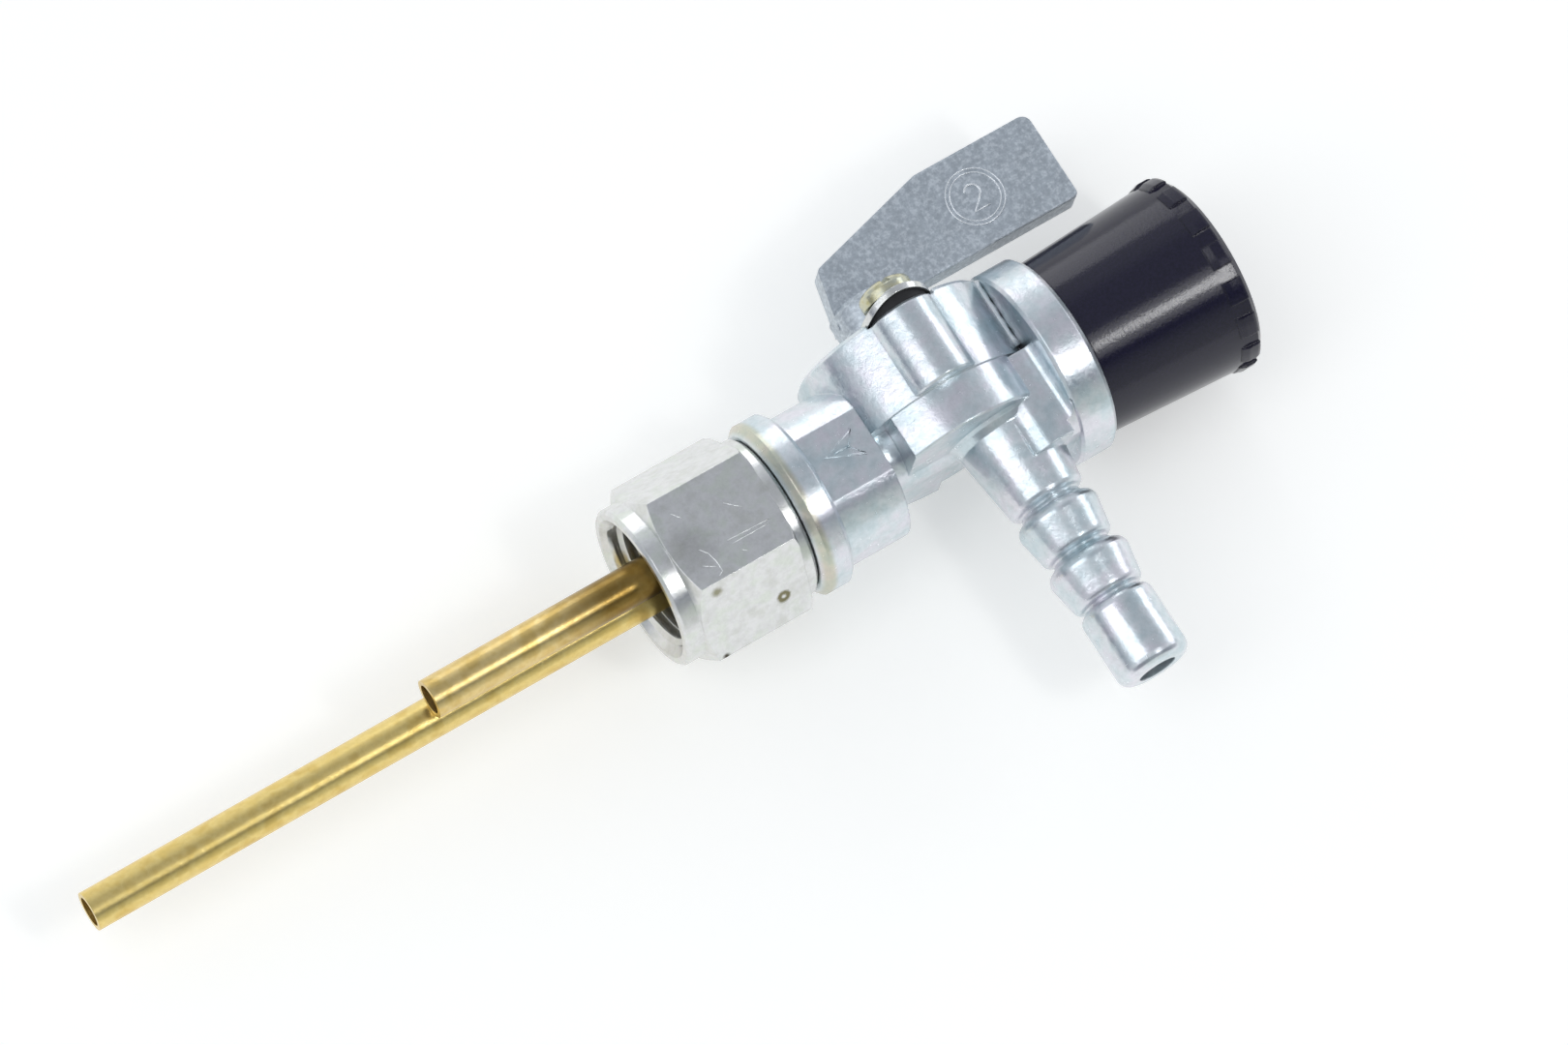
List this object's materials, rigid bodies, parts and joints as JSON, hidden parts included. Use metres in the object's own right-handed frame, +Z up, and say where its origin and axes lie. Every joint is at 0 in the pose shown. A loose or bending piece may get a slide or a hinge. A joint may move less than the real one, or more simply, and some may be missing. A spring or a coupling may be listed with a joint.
{
  "type": "fuel tap",
  "caption": "Small fuel tap: union nut with two brass standpipes, flag lever on a round valve drum, ridged hose barb and a black screw-on sediment bowl with filter.",
  "frame": {"origin": "centre of the union nut's open face, on the axis of the tank thread", "axes": "+Z runs up the main axis out of the union nut, along both standpipes and into the tank. +Y runs out along the hose barb, -Y out to the lever. -X is the side of the screw boss and of the wrench flat in the picture."},
  "size_m": [0.0223, 0.0537, 0.1249],
  "materials": {
    "plated_zinc": "zinc die casting under bright bluish plating, slightly rough as cast",
    "matt_zinc": "zinc die casting with dull mottled plating",
    "plated_steel": "turned steel under bright zinc plating with small stains",
    "yellow_steel": "steel under yellowish plating",
    "brass_tube": "drawn brass tube, slightly tarnished",
    "brass_gauze": "woven brass wire",
    "seal_rubber": "matt black rubber",
    "sealing_fibre": "pressed red-brown sealing fibre",
    "black_plastic": "glossy blue-black moulded plastic with fine scratches",
    "filter_plastic": "natural off-white nylon"
  },
  "bodies": {
    "tap_body": {"body": "plated_zinc", "main_pipe": "brass_tube", "reserve_pipe": "brass_tube", "tank_seal": "sealing_fibre", "port_seal": "seal_rubber", "retaining_screw": "yellow_steel", "spring_washer": "plated_steel", "rubber_pad": "seal_rubber", "bowl_seal": "seal_rubber", "filter_frame": "filter_plastic", "filter_gauze": "brass_gauze"},
    "lever": {"lever": "matt_zinc", "plug_ring": "seal_rubber"},
    "nut": {"union_nut": "plated_steel"},
    "bowl": {"bowl": "black_plastic"}
  },
  "joints": [
    {"name": "lever_turn", "type": "hinge", "parent": "tap_body", "child": "lever", "pos_m": [0, -0.0095, -0.0336], "axis": [0, 1, 0], "range_deg": [-180, 0]},
    {"name": "nut_turn", "type": "hinge", "parent": "tap_body", "child": "nut", "pos_m": [0, 0, -0.0074], "axis": [0, 0, 1], "continuous": true},
    {"name": "bowl_off", "type": "slide", "parent": "tap_body", "child": "bowl", "axis": [0, 0, -1], "range_m": [0, 0.022]}
  ]
}
